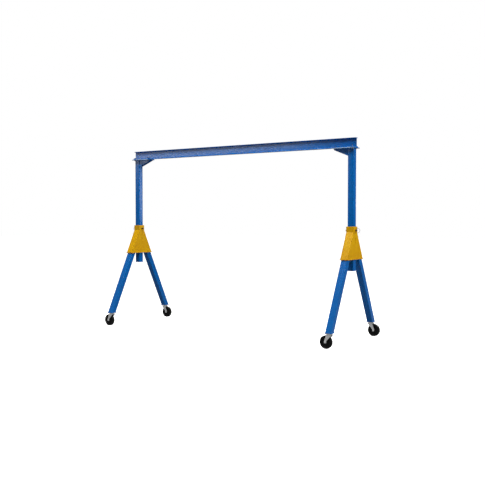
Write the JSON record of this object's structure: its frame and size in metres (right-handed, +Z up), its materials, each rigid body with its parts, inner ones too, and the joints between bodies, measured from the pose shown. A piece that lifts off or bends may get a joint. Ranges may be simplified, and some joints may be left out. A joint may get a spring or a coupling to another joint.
{
  "type": "portable gantry crane",
  "caption": "Blue steel portable gantry crane: an I-beam on telescoping uprights, yellow heads, splayed A-frame legs, pull-ring lock pins and swivel casters.",
  "frame": {"origin": "on the floor, midway between the two uprights and midway between the casters", "axes": "+X along the beam, +Y across the crane, +Z up"},
  "size_m": [4.7564, 1.641, 3.228],
  "materials": {
    "blue_paint": "semi-gloss",
    "yellow_paint": "semi-gloss",
    "zinc_plate": "satin",
    "dark_steel": "satin",
    "ring_wire": "satin",
    "black_wheel": "matte",
    "bearing_steel": "satin"
  },
  "bodies": {
    "upper_frame": {"runway_beam": "blue_paint", "upright_left": "blue_paint", "saddle_plate_left": "blue_paint", "saddle_gussets_left": "blue_paint", "beam_clips_left": "blue_paint", "clip_bolts_left": "dark_steel", "upright_right": "blue_paint", "saddle_plate_right": "blue_paint", "saddle_gussets_right": "blue_paint", "beam_clips_right": "blue_paint", "clip_bolts_right": "dark_steel"},
    "a_frames": {"head_receiver_left": "yellow_paint", "head_collar_left": "yellow_paint", "head_face_plates_left": "yellow_paint", "head_slope_plates_left": "yellow_paint", "head_base_plate_left": "yellow_paint", "swivel_races_left": "zinc_plate", "kingpins_left": "zinc_plate", "caster_bolts_left": "zinc_plate", "leg_left_rear": "blue_paint", "foot_plate_left_rear": "blue_paint", "caster_plate_left_rear": "zinc_plate", "leg_left_front": "blue_paint", "foot_plate_left_front": "blue_paint", "caster_plate_left_front": "zinc_plate", "head_receiver_right": "yellow_paint", "head_collar_right": "yellow_paint", "head_face_plates_right": "yellow_paint", "head_slope_plates_right": "yellow_paint", "head_base_plate_right": "yellow_paint", "swivel_races_right": "zinc_plate", "kingpins_right": "zinc_plate", "caster_bolts_right": "zinc_plate", "leg_right_rear": "blue_paint", "foot_plate_right_rear": "blue_paint", "caster_plate_right_rear": "zinc_plate", "leg_right_front": "blue_paint", "foot_plate_right_front": "blue_paint", "caster_plate_right_front": "zinc_plate"},
    "pin_left": {"lock_pin_left": "dark_steel"},
    "ring_left": {"pin_ring_left": "ring_wire"},
    "swivel_left_rear": {"caster_yoke_left_rear": "zinc_plate", "caster_axle_left_rear": "zinc_plate"},
    "roller_left_rear": {"wheel_left_rear": "black_wheel", "wheel_bearing_left_rear": "bearing_steel"},
    "swivel_left_front": {"caster_yoke_left_front": "zinc_plate", "caster_axle_left_front": "zinc_plate"},
    "roller_left_front": {"wheel_left_front": "black_wheel", "wheel_bearing_left_front": "bearing_steel"},
    "pin_right": {"lock_pin_right": "dark_steel"},
    "ring_right": {"pin_ring_right": "ring_wire"},
    "swivel_right_rear": {"caster_yoke_right_rear": "zinc_plate", "caster_axle_right_rear": "zinc_plate"},
    "roller_right_rear": {"wheel_right_rear": "black_wheel", "wheel_bearing_right_rear": "bearing_steel"},
    "swivel_right_front": {"caster_yoke_right_front": "zinc_plate", "caster_axle_right_front": "zinc_plate"},
    "roller_right_front": {"wheel_right_front": "black_wheel", "wheel_bearing_right_front": "bearing_steel"}
  },
  "joints": [
    {"name": "height", "type": "slide", "parent": "a_frames", "child": "upper_frame", "axis": [0, 0, 1], "range_m": [0, 0.381]},
    {"name": "pin_pull_left", "type": "slide", "parent": "a_frames", "child": "pin_left", "axis": [-1, 0, 0], "range_m": [0, 0.157]},
    {"name": "ring_swing_left", "type": "hinge", "parent": "pin_left", "child": "ring_left", "pos_m": [-2.2927, 0, 1.77], "axis": [0, 0, 1], "range_deg": [-80, 80]},
    {"name": "swivel_left_rear", "type": "hinge", "parent": "a_frames", "child": "swivel_left_rear", "pos_m": [-2.221, 0.757, 0.2], "axis": [0, 0, 1], "continuous": true},
    {"name": "roll_left_rear", "type": "hinge", "parent": "swivel_left_rear", "child": "roller_left_rear", "pos_m": [-2.1654, 0.757, 0.1016], "axis": [0, 1, 0], "continuous": true},
    {"name": "swivel_left_front", "type": "hinge", "parent": "a_frames", "child": "swivel_left_front", "pos_m": [-2.221, -0.757, 0.2], "axis": [0, 0, 1], "continuous": true},
    {"name": "roll_left_front", "type": "hinge", "parent": "swivel_left_front", "child": "roller_left_front", "pos_m": [-2.2766, -0.757, 0.1016], "axis": [0, 1, 0], "continuous": true},
    {"name": "pin_pull_right", "type": "slide", "parent": "a_frames", "child": "pin_right", "axis": [1, 0, 0], "range_m": [0, 0.157]},
    {"name": "ring_swing_right", "type": "hinge", "parent": "pin_right", "child": "ring_right", "pos_m": [2.2927, 0, 1.77], "axis": [0, 0, 1], "range_deg": [-80, 80]},
    {"name": "swivel_right_rear", "type": "hinge", "parent": "a_frames", "child": "swivel_right_rear", "pos_m": [2.221, 0.757, 0.2], "axis": [0, 0, 1], "continuous": true},
    {"name": "roll_right_rear", "type": "hinge", "parent": "swivel_right_rear", "child": "roller_right_rear", "pos_m": [2.2766, 0.757, 0.1016], "axis": [0, 1, 0], "continuous": true},
    {"name": "swivel_right_front", "type": "hinge", "parent": "a_frames", "child": "swivel_right_front", "pos_m": [2.221, -0.757, 0.2], "axis": [0, 0, 1], "continuous": true},
    {"name": "roll_right_front", "type": "hinge", "parent": "swivel_right_front", "child": "roller_right_front", "pos_m": [2.1654, -0.757, 0.1016], "axis": [0, 1, 0], "continuous": true}
  ]
}
